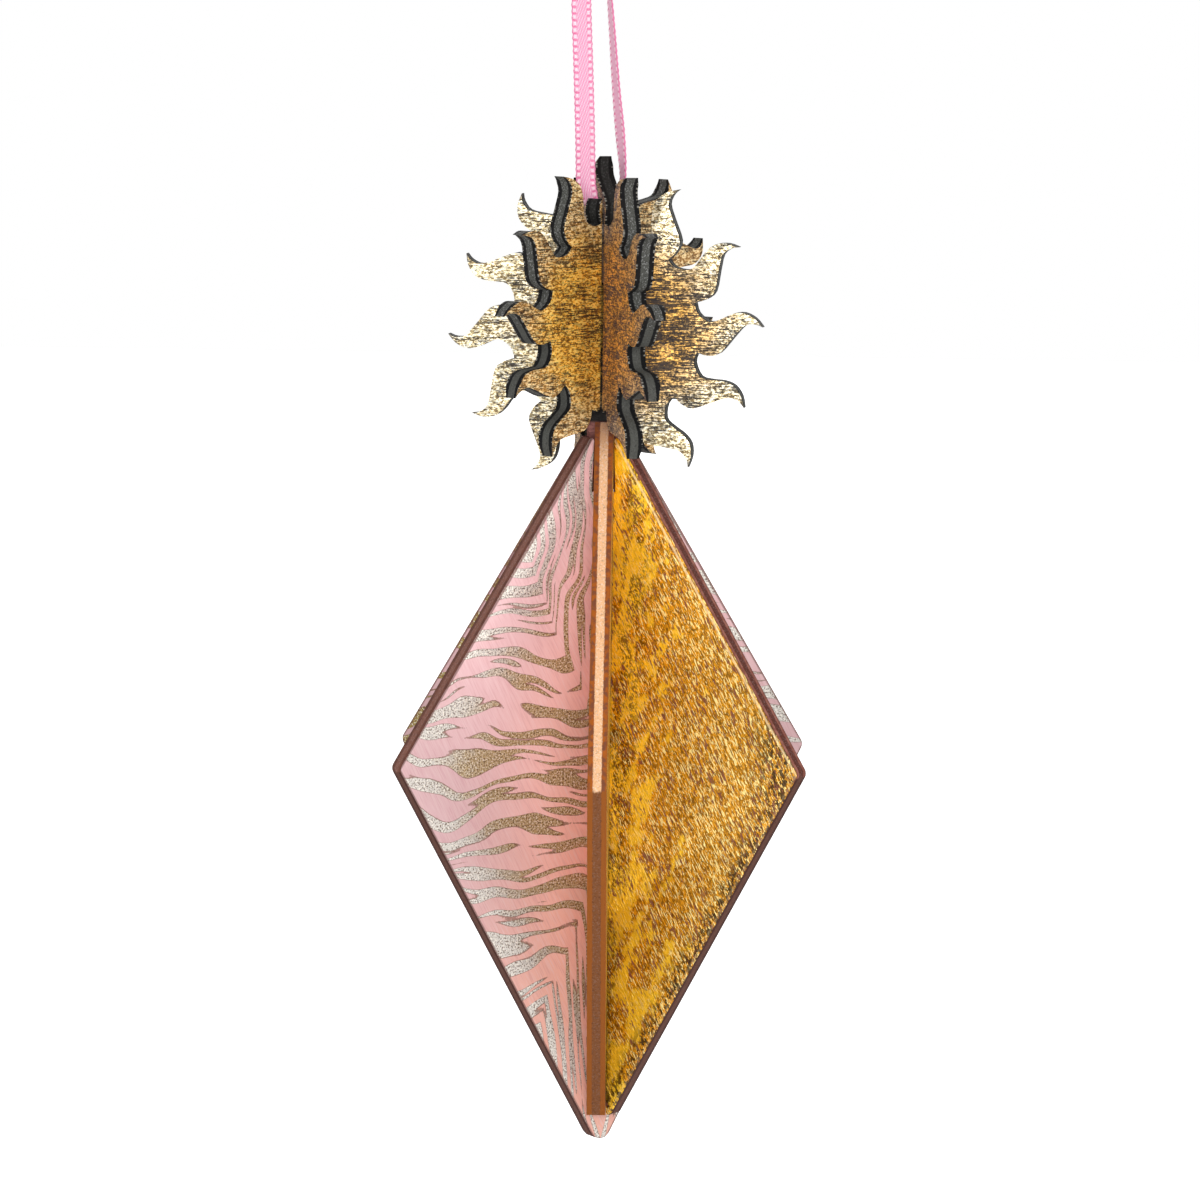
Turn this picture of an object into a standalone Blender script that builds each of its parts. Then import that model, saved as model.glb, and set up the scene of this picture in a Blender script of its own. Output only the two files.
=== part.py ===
"""Hanging bauble of laser-cut plywood with a satin ribbon.

Three kite-shaped plates cross on one upright axis as the body. Three flame-rayed discs cross above them
as a sun, whose lowest ray is a tongue that plugs into the body's top. A ribbon loop runs through the sun.

Metres, +Z up, the front is -Y. The origin is where a hook carries the ribbon's loop, just below its knot.
An azimuth is in degrees from +X towards +Y, seen from above, and names the way a plate's own +X points.
"""

from math import atan2, cos, degrees, radians, sin, sqrt, tan

import bmesh
import bpy
from mathutils import Matrix, Vector

MM = 0.001

# Sheet and fits
PLY = 2.8 * MM  # sold as 3 mm
FIT = 0.25 * MM  # clear gap from a plate's face to the slot that lets it through
SEAT = 0.3 * MM  # gap where one slot's end sits on another's

# Body
BODY_HALF_WIDTH = 34.6 * MM
BODY_UPPER = 52.2 * MM  # from the widest level up to where the edges would meet
BODY_LOWER = 59.9 * MM  # and down
BODY_CORNER_R = 1.2 * MM
BODY_TIP_R = 1.7 * MM
CUT_CORNER_R = 0.35 * MM  # at a slot's ends and where it breaks out through an edge
SOCKET_STEP_R = 0.08 * MM  # at the small step from the socket to the narrower slot below it
FRONT_AZIMUTH = 270  # the plate whose edge faces the front
CROSSING = 60  # degrees between neighbouring plates, body and sun alike
FRONT_LAP_LEVEL = 9.0 * MM  # the front plate is whole above this, the right one below
LEFT_LAP_LEVEL = -25.0 * MM  # the left plate is whole below this, the right one above

# Sun
SUN_LEVEL = 65.8 * MM  # the sun's centre above the body's widest level
SUN_AZIMUTH = 350  # the tongue plate, turned a little from midway between two body plates
SUN_RAYS = 12
SUN_PHASE = 2.2  # degrees that every ray is turned from its even place
SUN_LAP = 4.8 * MM  # the middle plate is whole this far up and down from the sun's centre
TONGUE_DROP = 2.0 * MM  # the tongue plate sits this much lower than the other two
NOTCH_RADIUS = 14.3 * MM
NOTCH_ANGLE = 16.2  # degrees from a ray's own line to the sharp notch after it
FLARE_RADIUS = 14.35 * MM
FLARE_ANGLE = 9.5
RAY_TIP_RADIUS = 23.8 * MM
RAY_TIP_LEAN = 0.3
# Up one flame: radius, lean of its middle line in degrees, half its width
RAY_STATIONS = (
    (15.9 * MM, -5.2, 2.5 * MM),
    (17.6 * MM, -3.6, 2.55 * MM),
    (19.4 * MM, 1.2, 1.75 * MM),
    (21.1 * MM, 3.7, 0.95 * MM),
    (22.7 * MM, 2.6, 0.42 * MM),
)
STEPS_PER_SPAN = 3  # straight steps between two points of a curve
UPPER_STUB = 18.0 * MM  # a ray that a slot opens through is cut back to this height
LOWER_STUB = 16.6 * MM  # and to this one below, clear of the body's peak
STUB_CLEARING = 5.0 * MM  # half the width that is cleared beyond a stub
CLEARING_END = RAY_TIP_RADIUS + 5.0 * MM  # and how far out
CUTTER_DEPTH = 2 * PLY

# Tongue and socket
TONGUE_WIDTH = 4.8 * MM
TONGUE_REACH = 23.6 * MM  # from the plate's centre to the tongue's end
TONGUE_CORNER_R = 0.5 * MM

# Ribbon
RIBBON_WIDTH = 3.0 * MM
RIBBON_THICKNESS = 0.25 * MM
HOLE_RADIUS = 1.8 * MM
HOLE_HEIGHT = 13.05 * MM  # above the hanger plate's centre
HOLE_SIDES = 40
RIBBON_REACH = 42.0 * MM  # from the hole's centre up to the hang point
RIBBON_LEAN = 2.6 * MM  # the hang point is this far to the left of the bauble's axis
RIBBON_STEPS = 2  # straight steps between two rows of its route
ACROSS_RIBBON = (-1.0, -0.5, 0.0, 0.5, 1.0)  # where its section has points, from edge to edge
KNOT_RADII = (1.9 * MM, 2.3 * MM, 1.9 * MM)
KNOT_TRIM = 0.3 * MM  # cut flat this much below, where the ribbon enters, and above, where the tails leave
KNOT_SIDES = 16
CREASE_ANGLE = 40  # degrees from which a satin edge is drawn sharp

# The ribbon's route, in mm from the hole's centre. Each row is a place to the right, to the back and up,
# then the azimuth of the ribbon's width, then how far its middle stands out as it curls.
LEFT_STRAND = (
    (-2.9, 0.0, 41.7, 90, 0.0),
    (-3.05, 0.0, 41.0, 98, 0.0),
    (-3.9, -0.05, 38.0, 142, 0.0),
    (-4.2, -0.1, 33.8, 178, 0.0),
    (-3.8, -0.1, 24.0, 181, 0.0),
    (-3.42, -0.1, 14.0, 180, 0.0),
    (-3.27, -0.12, 8.0, 179, 0.0),
)
# These rows are square to the hanger plate: right is out of its right face, and azimuth 90 is its plane.
THROUGH_HOLE = (
    (-3.0, 0.95, 6.2, 152, 0.0),
    (-2.5, 0.65, 4.4, 128, 0.0),
    (-2.0, 0.4, 3.0, 102, 0.0),
    (-1.76, 0.12, 2.0, 91, 0.1),
    (-1.6, 0.0, 1.62, 90, 0.35),
    (-1.25, 0.0, 1.475, 90, 0.7),
    (1.25, 0.0, 1.475, 90, 0.7),
    (1.6, 0.0, 1.62, 90, 0.35),
    (1.76, 0.12, 2.0, 90, 0.1),
    (1.93, 0.4, 3.0, 84, 0.0),
    (2.15, 0.55, 4.4, 80, 0.0),
)
RIGHT_STRAND = (
    (2.25, 1.0, 8.0, 108, 0.0),
    (1.77, 0.9, 14.0, 118, 0.0),
    (1.07, 0.6, 21.0, 113, 0.0),
    (0.0, 0.2, 33.8, 104, 0.0),
    (-0.75, 0.1, 38.0, 98, 0.0),
    (-2.05, 0.0, 41.0, 92, 0.0),
    (-2.3, 0.0, 41.7, 90, 0.0),
)
# The tails above the knot, in mm from the hang point
LEFT_TAIL = (
    (-0.45, 0.0, 3.5, 90, 0.0),
    (-0.7, 0.1, 5.2, 80, 0.0),
    (-1.9, 0.3, 7.4, 70, 0.2),
    (-3.6, 0.2, 9.0, 74, 0.1),
)
RIGHT_TAIL = (
    (0.45, 0.0, 3.5, 90, 0.0),
    (0.6, -0.1, 5.4, 96, 0.0),
    (1.3, -0.3, 7.8, 108, 0.2),
    (2.6, -0.2, 10.0, 104, 0.1),
)

WORN_GOLD = (0.52, 0.32, 0.08)
SATIN_PINK = (0.88, 0.36, 0.60)

# Levels and places that follow from those sizes
HOLE_Z = -RIBBON_REACH
SUN_Z = HOLE_Z - HOLE_HEIGHT
BODY_Z = SUN_Z - SUN_LEVEL
LEFT_AZIMUTH = FRONT_AZIMUTH - CROSSING
RIGHT_AZIMUTH = FRONT_AZIMUTH + CROSSING
HANGER_AZIMUTH = SUN_AZIMUTH - CROSSING
MIDDLE_AZIMUTH = SUN_AZIMUTH - 2 * CROSSING
SOCKET_FLOOR = SUN_LEVEL - TONGUE_DROP - TONGUE_REACH - SEAT  # above the body's widest level
LOWEST_RAY = SUN_RAYS * 3 // 4
RAY_SPACING = 360 / SUN_RAYS


def clear_scene():
    for thing in list(bpy.data.objects):
        bpy.data.objects.remove(thing, do_unlink=True)


def surface(name, color, roughness, metallic=0.0):
    """A plain material of the piece's own colour."""
    made = bpy.data.materials.new(name)
    made.use_nodes = True
    shader = made.node_tree.nodes["Principled BSDF"]
    shader.inputs["Base Color"].default_value = (*color, 1.0)
    shader.inputs["Roughness"].default_value = roughness
    shader.inputs["Metallic"].default_value = metallic
    made.diffuse_color = (*color, 1.0)
    return made


def polar(radius, angle):
    """A point of a plate's outline from its centre, the angle in degrees."""
    return Vector((radius * cos(radians(angle)), radius * sin(radians(angle))))


def smooth_line(points, steps):
    """A curve through all the points, as straight steps."""
    line = []
    for i in range(len(points) - 1):
        before = points[max(i - 1, 0)]
        start, end = points[i], points[i + 1]
        after = points[min(i + 2, len(points) - 1)]
        for k in range(steps):
            t = k / steps
            line.append(
                0.5 * (2 * start + (end - before) * t + (2 * before - 5 * start + 4 * end - after) * t**2
                       + (3 * start - before - 3 * end + after) * t**3)
            )
    line.append(points[-1])
    return line


def arc(centre, radius, first, last, steps=4):
    """Points from one angle to another, in degrees, round a centre."""
    return [centre + polar(radius, first + (last - first) * k / steps) for k in range(steps + 1)]


def rounded(corners):
    """A closed outline through (x, z, radius) corners, each corner turned by an arc."""
    outline = []
    for i, (x, z, radius) in enumerate(corners):
        here = Vector((x, z))
        back = (Vector(corners[i - 1][:2]) - here).normalized()
        ahead = (Vector(corners[(i + 1) % len(corners)][:2]) - here).normalized()
        half = back.angle(ahead) / 2
        centre = here + (back + ahead).normalized() * (radius / sin(half))
        from_centre = [here + way * (radius / tan(half)) - centre for way in (back, ahead)]
        first, last = (degrees(atan2(p.y, p.x)) for p in from_centre)
        outline += arc(centre, radius, first, first + (last - first + 180) % 360 - 180)
    return outline


def linked(name, shape):
    """An object made from a finished bmesh, with its faces pointing out."""
    bmesh.ops.recalc_face_normals(shape, faces=shape.faces)
    mesh = bpy.data.meshes.new(name)
    shape.to_mesh(mesh)
    shape.free()
    made = bpy.data.objects.new(name, mesh)
    bpy.context.collection.objects.link(made)
    return made


def prism(name, outline, depth):
    """A closed solid of an outline in its own X and Z, centred on Y = 0."""
    shape = bmesh.new()
    face = shape.faces.new([shape.verts.new((p.x, -depth / 2, p.y)) for p in outline])
    grown = bmesh.ops.extrude_face_region(shape, geom=[face])
    moved = [v for v in grown["geom"] if isinstance(v, bmesh.types.BMVert)]
    bmesh.ops.translate(shape, verts=moved, vec=(0, depth, 0))
    return linked(name, shape)


def stand(plate, azimuth, level, pivot, finish):
    """Turns a plate to its azimuth on the bauble's axis, at its level, and hangs it on the pivot."""
    plate.parent = pivot
    plate.location = (0, 0, level - HOLE_Z)
    plate.rotation_euler = (0, 0, radians(azimuth))
    plate.data.materials.append(finish)


def cut(plate, cutter):
    """Takes a cutter's shape out of a plate. Both are made round the same origin."""
    cutter.hide_render = True
    cutter.display_type = "WIRE"
    cutter.parent = plate
    taken = plate.modifiers.new(cutter.name, "BOOLEAN")
    taken.operation = "DIFFERENCE"
    taken.object = cutter


def between(azimuth_a, azimuth_b):
    """The acute angle between two plates' planes."""
    apart = abs(azimuth_a - azimuth_b) % 180
    return min(apart, 180 - apart)


def slot_half(width, thickness, crossing):
    """Half the slot that lets a bar of this section through a plate, the two planes at this angle."""
    angle = radians(crossing)
    to_corner = width / 2 * cos(angle) + thickness / 2 * sin(angle) + FIT
    to_face = (thickness / 2 + FIT) / sin(angle) + PLY / 2 / tan(angle)
    return min(to_corner, to_face)


LAP_HALF = slot_half(2 * BODY_HALF_WIDTH, PLY, CROSSING)


def kite_edge(height, half):
    """How high a kite's sloping edge is, this far out from its axis."""
    return height * (1 - half / BODY_HALF_WIDTH)


def body_plate(name, azimuth, whole_from, whole_to, pivot, finish):
    """One kite, whole from one level to another, slotted beyond them, with its share of the socket."""
    socket = slot_half(TONGUE_WIDTH, PLY, between(azimuth, SUN_AZIMUTH))
    side = [(BODY_HALF_WIDTH, 0, BODY_CORNER_R)]
    if whole_to < SOCKET_FLOOR:
        mouth = max(socket, LAP_HALF)
        side += [
            (mouth, kite_edge(BODY_UPPER, mouth), CUT_CORNER_R),
            (mouth, SOCKET_FLOOR, SOCKET_STEP_R),
            (LAP_HALF, SOCKET_FLOOR, SOCKET_STEP_R),
            (LAP_HALF, whole_to, CUT_CORNER_R),
        ]
    else:
        side += [(socket, kite_edge(BODY_UPPER, socket), CUT_CORNER_R), (socket, SOCKET_FLOOR, CUT_CORNER_R)]
    corners = side + [(-x, z, radius) for x, z, radius in reversed(side)]
    if whole_from is None:
        corners.append((0, -BODY_LOWER, BODY_TIP_R))
    else:
        breakout = kite_edge(-BODY_LOWER, LAP_HALF)
        corners += [
            (-LAP_HALF, breakout, CUT_CORNER_R),
            (-LAP_HALF, whole_from, CUT_CORNER_R),
            (LAP_HALF, whole_from, CUT_CORNER_R),
            (LAP_HALF, breakout, CUT_CORNER_R),
        ]
    plate = prism(name, rounded(corners), PLY)
    stand(plate, azimuth, BODY_Z, pivot, finish)


def ray_outline(number):
    """One flame, from the notch before it up to the notch after it."""
    line = RAY_SPACING * number + SUN_PHASE
    before = polar(NOTCH_RADIUS, line + NOTCH_ANGLE - RAY_SPACING)
    rising = [polar(r, line + lean - degrees(half / r)) for r, lean, half in RAY_STATIONS]
    tip = polar(RAY_TIP_RADIUS, line + RAY_TIP_LEAN)
    falling = [polar(r, line + lean + degrees(half / r)) for r, lean, half in reversed(RAY_STATIONS)]
    flare = polar(FLARE_RADIUS, line + FLARE_ANGLE)
    notch = polar(NOTCH_RADIUS, line + NOTCH_ANGLE)
    up = smooth_line([before, *rising, tip], STEPS_PER_SPAN)
    down = smooth_line([tip, *falling, flare, notch], STEPS_PER_SPAN)
    return up + down[1:-1]


def tongue_outline():
    """The plain tongue in place of the lowest flame."""
    half, turn = TONGUE_WIDTH / 2, TONGUE_CORNER_R
    shoulder = -sqrt(NOTCH_RADIUS**2 - half**2)
    return [
        polar(NOTCH_RADIUS, RAY_SPACING * (LOWEST_RAY - 1) + SUN_PHASE + NOTCH_ANGLE),
        Vector((-half, shoulder)),
        *arc(Vector((turn - half, turn - TONGUE_REACH)), turn, 180, 270),
        *arc(Vector((half - turn, turn - TONGUE_REACH)), turn, 270, 360),
        Vector((half, shoulder)),
    ]


def slot_cutter(name, floor, upward):
    """A tee-shaped cutter: the slot from its floor, and the clearing beyond the stubs beside it."""
    turn, stub = (1, UPPER_STUB) if upward else (-1, LOWER_STUB)
    half_tee = [(LAP_HALF, floor), (LAP_HALF, stub), (STUB_CLEARING, stub), (STUB_CLEARING, CLEARING_END)]
    tee = half_tee + [(-x, z) for x, z in reversed(half_tee)]
    return prism(name, [Vector((turn * x, turn * z)) for x, z in tee], CUTTER_DEPTH)


def sun_plate(name, azimuth, drop, slots, pivot, finish, has_tongue=False, has_hole=False):
    """One flame-rayed disc. A slot is its floor's distance from the centre and whether it opens upward."""
    outline = []
    for number in range(SUN_RAYS):
        outline += tongue_outline() if has_tongue and number == LOWEST_RAY else ray_outline(number)
    plate = prism(name, outline, PLY)
    for i, (floor, upward) in enumerate(slots):
        cut(plate, slot_cutter(f"{name}_slot_{i}", floor, upward))
    if has_hole:
        rim = arc(Vector((0, HOLE_HEIGHT)), HOLE_RADIUS, 0, 360, HOLE_SIDES)[:-1]
        cut(plate, prism(f"{name}_hole", rim, CUTTER_DEPTH))
    stand(plate, azimuth, SUN_Z - drop, pivot, finish)


def add_strip(shape, route):
    """Adds a ribbon along (place, azimuth of its width, crown) rows as one closed body."""
    flat_half = RIBBON_WIDTH / 2
    rings = []
    for i, (place, azimuth, crown) in enumerate(route):
        ahead = (route[min(i + 1, len(route) - 1)][0] - route[max(i - 1, 0)][0]).normalized()
        wide = Vector((cos(radians(azimuth)), sin(radians(azimuth)), 0))
        wide = (wide - ahead * wide.dot(ahead)).normalized()
        out = ahead.cross(wide)
        # a curled ribbon keeps its width along the curl, so it reaches less far across
        half = (flat_half + sqrt(max(flat_half**2 - 8 / 3 * crown**2, 0))) / 2
        ring = []
        for side in (1, -1):
            for share in ACROSS_RIBBON[::side]:
                middle = place + wide * (half * share) - out * (crown * share**2)
                face_way = (out * half + wide * (2 * crown * share)).normalized()
                ring.append(shape.verts.new(middle + face_way * (side * RIBBON_THICKNESS / 2)))
        rings.append(ring)
    for ring, following in zip(rings, rings[1:]):
        for k in range(len(ring)):
            after = (k + 1) % len(ring)
            shape.faces.new((ring[k], ring[after], following[after], following[k]))
    for ring in (rings[0], rings[-1]):
        for k in range(len(ACROSS_RIBBON) - 1):
            shape.faces.new((ring[k], ring[k + 1], ring[-k - 2], ring[-k - 1]))


def smooth_route(rows):
    """Route rows, read from a smooth curve through all of them."""
    places = smooth_line([row[0] for row in rows], RIBBON_STEPS)
    turns = smooth_line([Vector(row[1:]) for row in rows], RIBBON_STEPS)
    return [(place, turn.x, max(turn.y, 0.0)) for place, turn in zip(places, turns)]


def placed(rows, start, turn=0):
    """Rows as places in the model, from a start and turned about it by an azimuth."""
    turned = Matrix.Rotation(radians(turn), 3, "Z")
    return [(start + turned @ Vector(row[:3]) * MM, row[3] + turn, row[4] * MM) for row in rows]


def strip(name, rows, finish):
    """A length of ribbon as one closed solid."""
    shape = bmesh.new()
    add_strip(shape, smooth_route(rows))
    soften(linked(name, shape), finish)


def ribbon(finish):
    """The loop from the knot down through the hole and back up to the knot."""
    hole = Vector((RIBBON_LEAN, 0, HOLE_Z))
    through = placed(THROUGH_HOLE, hole, HANGER_AZIMUTH - FRONT_AZIMUTH)
    strip("ribbon", placed(LEFT_STRAND, hole) + through + placed(RIGHT_STRAND, hole), finish)


def ribbon_knot(finish):
    """The pulled-tight knot, plain, with its underside at the hang point."""
    shape = bmesh.new()
    bmesh.ops.create_uvsphere(shape, u_segments=KNOT_SIDES, v_segments=KNOT_SIDES // 2, radius=1.0)
    bmesh.ops.scale(shape, verts=shape.verts, vec=KNOT_RADII)
    flat = KNOT_RADII[2] - KNOT_TRIM
    for way in (1, -1):
        geometry = list(shape.verts) + list(shape.edges) + list(shape.faces)
        sliced = bmesh.ops.bisect_plane(
            shape, geom=geometry, plane_co=(0, 0, way * flat), plane_no=(0, 0, way), clear_outer=True
        )
        rim = [e for e in sliced["geom_cut"] if isinstance(e, bmesh.types.BMEdge)]
        bmesh.ops.holes_fill(shape, edges=rim)
    bmesh.ops.translate(shape, verts=shape.verts, vec=(0, 0, flat))
    soften(linked("ribbon_knot", shape), finish)


def soften(piece, finish):
    piece.data.shade_smooth()
    piece.data.set_sharp_from_angle(angle=radians(CREASE_ANGLE))
    piece.data.materials.append(finish)


def build():
    clear_scene()
    # all the plywood swings together on the ribbon, about the middle of the ribbon's hole
    pivot = bpy.data.objects.new("bauble_pivot", None)
    bpy.context.collection.objects.link(pivot)
    pivot.location = (RIBBON_LEAN, 0, HOLE_Z)

    zebra = surface("zebra_print", (0.72, 0.42, 0.42), 0.45)
    gold_foil = surface("gold_foil", (0.85, 0.50, 0.08), 0.28, 0.8)
    bare_edge = surface("plain_front_plate", (0.42, 0.20, 0.13), 0.6)
    hanger_gold = surface("worn_gold_hanger", WORN_GOLD, 0.4, 0.6)
    middle_gold = surface("worn_gold_middle", WORN_GOLD, 0.4, 0.6)
    pale_gold = surface("pale_worn_gold", (0.70, 0.56, 0.32), 0.35, 0.6)

    body_plate("body_plate_front", FRONT_AZIMUTH, FRONT_LAP_LEVEL + SEAT, SOCKET_FLOOR, pivot, bare_edge)
    body_plate("body_plate_right", RIGHT_AZIMUTH, LEFT_LAP_LEVEL + SEAT, FRONT_LAP_LEVEL, pivot, gold_foil)
    body_plate("body_plate_left", LEFT_AZIMUTH, None, LEFT_LAP_LEVEL, pivot, zebra)

    from_below = (-SUN_LAP - SEAT, False)
    sun_plate("sun_plate_hanger", HANGER_AZIMUTH, 0, [from_below], pivot, hanger_gold, has_hole=True)
    both_ways = [(SUN_LAP, True), (SUN_LAP - SEAT, False)]
    sun_plate("sun_plate_middle", MIDDLE_AZIMUTH, 0, both_ways, pivot, middle_gold)
    from_above = (TONGUE_DROP - SUN_LAP, True)
    sun_plate("sun_plate_tongue", SUN_AZIMUTH, TONGUE_DROP, [from_above], pivot, pale_gold, has_tongue=True)

    ribbon(surface("satin_loop", SATIN_PINK, 0.4))
    ribbon_knot(surface("satin_knot", SATIN_PINK, 0.4))
    strip("ribbon_tail_left", placed(LEFT_TAIL, Vector()), surface("satin_tail_left", SATIN_PINK, 0.4))
    strip("ribbon_tail_right", placed(RIGHT_TAIL, Vector()), surface("satin_tail_right", SATIN_PINK, 0.4))
    print("pieces:", len([o for o in bpy.data.objects if o.type == "MESH" and not o.hide_render]))


build()
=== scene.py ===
"""A wooden bauble: printed and foiled plywood plates, slotted together and hung on a satin ribbon."""

from math import cos, pi, radians, sin, sqrt

import bpy
from mathutils import Matrix, Vector


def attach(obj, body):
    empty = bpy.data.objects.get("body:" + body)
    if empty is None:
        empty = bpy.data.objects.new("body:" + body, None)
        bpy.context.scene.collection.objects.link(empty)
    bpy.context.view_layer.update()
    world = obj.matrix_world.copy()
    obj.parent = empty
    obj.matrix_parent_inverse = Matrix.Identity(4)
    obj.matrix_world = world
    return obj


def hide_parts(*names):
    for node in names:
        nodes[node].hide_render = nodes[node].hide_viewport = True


MM = 0.001

# Places in the model, in mm from the hang point
AXIS = 2.6  # to the right: the upright line on which the plates cross
HOLE = -42.0
SUN = -55.05  # the middle of the sun
BODY = -120.85  # the body's widest level
TONGUE_DROP = 2.0
SUN_FOOT = -68.3  # below this the sun plates get painted shade beside the axis, where they sink into the body
PLY = 2.8
CORE_HALF = 0.60  # half the middle ply, seen on an edge
KITE_HALF, KITE_UPPER, KITE_LOWER = 34.6, 52.2, 59.9  # the body's outline about its widest level

# Azimuths of the plates, in degrees
FRONT, LEFT, RIGHT = 270, 210, 330
HANGER, MIDDLE, TONGUE = 290, 230, 350

# How a finished plate differs from its solid, in mm
EASED = 0.13  # off every sharp edge
SLOT_FROM, SLOT_TO = 2.3, 3.4  # where the walls of the body's slots are, out from the axis
SLOT_FADE = 0.5
SLOT_DRAWN_IN = 0.22
HORN_FOOT = 44.5  # above the body's widest level
HORN_RISE = 4.0  # the height over which the change takes hold
HORN_REACH = 6  # out from the axis
HORN_RAISED = 1.75
HORN_DRAWN_IN, FRONT_HORN_DRAWN_IN = 0.5, 0.3
TIP_FROM, TIP_LENGTH = 22.4, 1.4  # the burnt end of a ray, out from the middle of the sun
TIP_THINNED = 0.35  # the share of its thickness that it loses

MERGED = 0.000002  # points closer than this are one, in metres
FLAT, SHARP = 0.4, 60  # angles between faces, in degrees: merged into one, and eased
PLATE_SMOOTH, RIBBON_SMOOTH = 35, 50  # shaded as round below this angle, in degrees


def shade(code):
    """A colour written as six hex digits, as the shaders want it."""
    values = [int(code[i : i + 2], 16) / 255 for i in (0, 2, 4)]
    return tuple(v / 12.92 if v <= 0.04045 else ((v + 0.055) / 1.055) ** 2.4 for v in values) + (1.0,)


def shades(codes):
    """Several colours, written with spaces between."""
    return tuple(shade(code) for code in codes.split())


WHITE, BLACK = (1.0, 1.0, 1.0, 1.0), (0.0, 0.0, 0.0, 1.0)


# Making the finishes


class Finish:
    """A material in the making. A value is a number, a colour or another node's output."""

    def __init__(self, name, roughness=0.5):
        self.material = bpy.data.materials.new(name)
        self.material.use_nodes = True
        self.tree = self.material.node_tree
        self.shader = self.tree.nodes["Principled BSDF"]
        self.set(self.shader, Roughness=roughness)

    def put(self, socket, value):
        if isinstance(value, bpy.types.NodeSocket):
            self.tree.links.new(value, socket)
        else:
            socket.default_value = value

    def set(self, node, **values):
        for name, value in values.items():
            self.put(node.inputs[name.replace("_", " ")], value)

    def plate_space(self, azimuth, level):
        """Millimetres out along the plate, through its thickness, and up from its own level."""
        where = self.tree.nodes.new("ShaderNodeTexCoord")
        turned = self.tree.nodes.new("ShaderNodeMapping")
        turned.vector_type = "TEXTURE"
        self.set(turned, Vector=where.outputs["Object"], Location=(AXIS * MM, 0, level * MM),
                 Rotation=(0, 0, radians(azimuth)), Scale=(MM, MM, MM))
        return turned.outputs[0]

    def drawn_out(self, where, lean, across, along):
        """The same place, for grain that runs up the plate and leans by this angle."""
        turned = self.tree.nodes.new("ShaderNodeMapping")
        turned.vector_type = "TEXTURE"
        self.set(turned, Vector=where, Rotation=(0, radians(lean), 0), Scale=(across, 1.0, along))
        return turned.outputs[0]

    def part(self, where, axis):
        split = self.tree.nodes.new("ShaderNodeSeparateXYZ")
        self.put(split.inputs[0], where)
        return split.outputs[axis]

    def calc(self, how, a, b=0.0, c=0.0):
        made = self.tree.nodes.new("ShaderNodeMath")
        made.operation = how
        for socket, value in zip(made.inputs, (a, b, c)):
            self.put(socket, value)
        return made.outputs[0]

    def plus(self, a, b):
        return self.calc("ADD", a, b)

    def times(self, a, b):
        return self.calc("MULTIPLY", a, b)

    def minus(self, a, b):
        return self.calc("SUBTRACT", a, b)

    def larger(self, a, b):
        return self.calc("MAXIMUM", a, b)

    def line(self, value, slope, start):
        """The value times a slope, from a start."""
        return self.calc("MULTIPLY_ADD", value, slope, start)

    def rise(self, value, low, high):
        """Nought at low and one at high, smooth between. Where low is the greater, it falls."""
        made = self.tree.nodes.new("ShaderNodeMapRange")
        made.interpolation_type = "SMOOTHSTEP"
        self.set(made, Value=value, From_Min=low, From_Max=high)
        return made.outputs[0]

    def cloud(self, where, scale, detail=2.0, roughness=0.5, distortion=0.0):
        made = self.tree.nodes.new("ShaderNodeTexNoise")
        self.set(made, Vector=where, Scale=scale, Detail=detail, Roughness=roughness, Distortion=distortion)
        return made.outputs[0]

    def blend(self, share, a, b):
        """Colour a, with colour b over it by a share."""
        made = self.tree.nodes.new("ShaderNodeMix")
        made.data_type = "RGBA"
        for socket, value in zip((made.inputs[0], made.inputs[6], made.inputs[7]), (share, a, b)):
            self.put(socket, value)
        return made.outputs[2]

    def relief(self, height, depth):
        """Raises the surface by a height, where a height of one is this many millimetres."""
        made = self.tree.nodes.new("ShaderNodeBump")
        self.set(made, Height=height, Distance=depth * MM, Strength=1.0)
        self.set(self.shader, Normal=made.outputs[0])

    def done(self, **values):
        self.set(self.shader, **values)
        return self.material


def to_kite_edge(f, out, up):
    """Millimetres in from the body's straight edges."""
    across = f.calc("ABSOLUTE", out)
    sides = []
    for height, way in ((KITE_UPPER, 1), (KITE_LOWER, -1)):
        slope = sqrt(height**2 + KITE_HALF**2)
        lean = f.line(across, -height / slope, KITE_HALF * height / slope)
        sides.append(f.line(up, -way * KITE_HALF / slope, lean))
    return f.calc("MINIMUM", *sides)


STRIPE_GAP, ECHO_GAP = 3.5, 1.62  # of the stripes' steady beat and of its finer echo, in mm


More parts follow.
